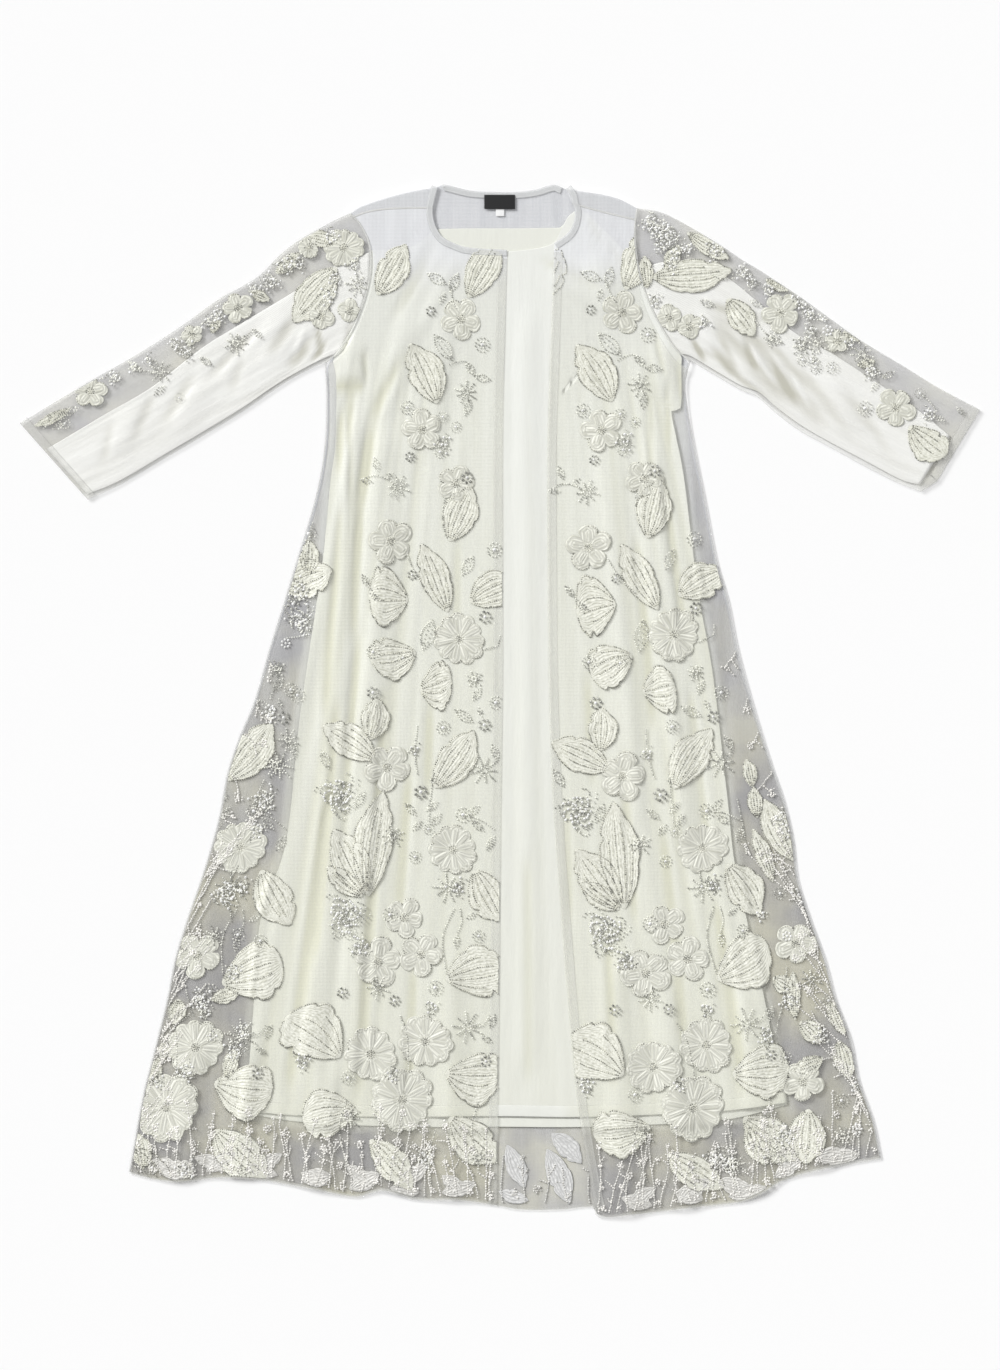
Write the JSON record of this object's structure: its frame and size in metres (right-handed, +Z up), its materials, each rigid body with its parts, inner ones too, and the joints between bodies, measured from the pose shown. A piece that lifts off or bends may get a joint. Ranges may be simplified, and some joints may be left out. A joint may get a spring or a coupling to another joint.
{
  "type": "open-front abaya",
  "caption": "Long open-front robe of sheer net with corded flower applique and beading, a satin lining inside, laid flat with its sleeves spread.",
  "frame": {"origin": "middle of the laid-out garment's box, on the surface that it lies on", "axes": "+X to the viewer's right across the sleeves, +Y from the hem to the neck, +Z up from the surface, out of the open front"},
  "size_m": [1.344, 1.4445, 0.0114],
  "materials": {
    "net": "sheer net with corded applique and beads",
    "satin": "ivory satin, soft sheen",
    "binding": "folded net and satin bias",
    "label": "bare black woven tape",
    "tab": "bare white woven tape"
  },
  "bodies": {
    "root": {"back_net": "net", "front_net_left": "net", "front_net_right": "net", "sleeve_net_left": "net", "sleeve_net_right": "net", "satin_back": "satin", "satin_front": "satin", "sleeve_satin_left": "satin", "sleeve_satin_right": "satin", "neck_binding_back": "binding", "neck_binding_left": "binding", "neck_binding_right": "binding", "neck_label": "label", "size_tab": "tab"}
  },
  "joints": []
}
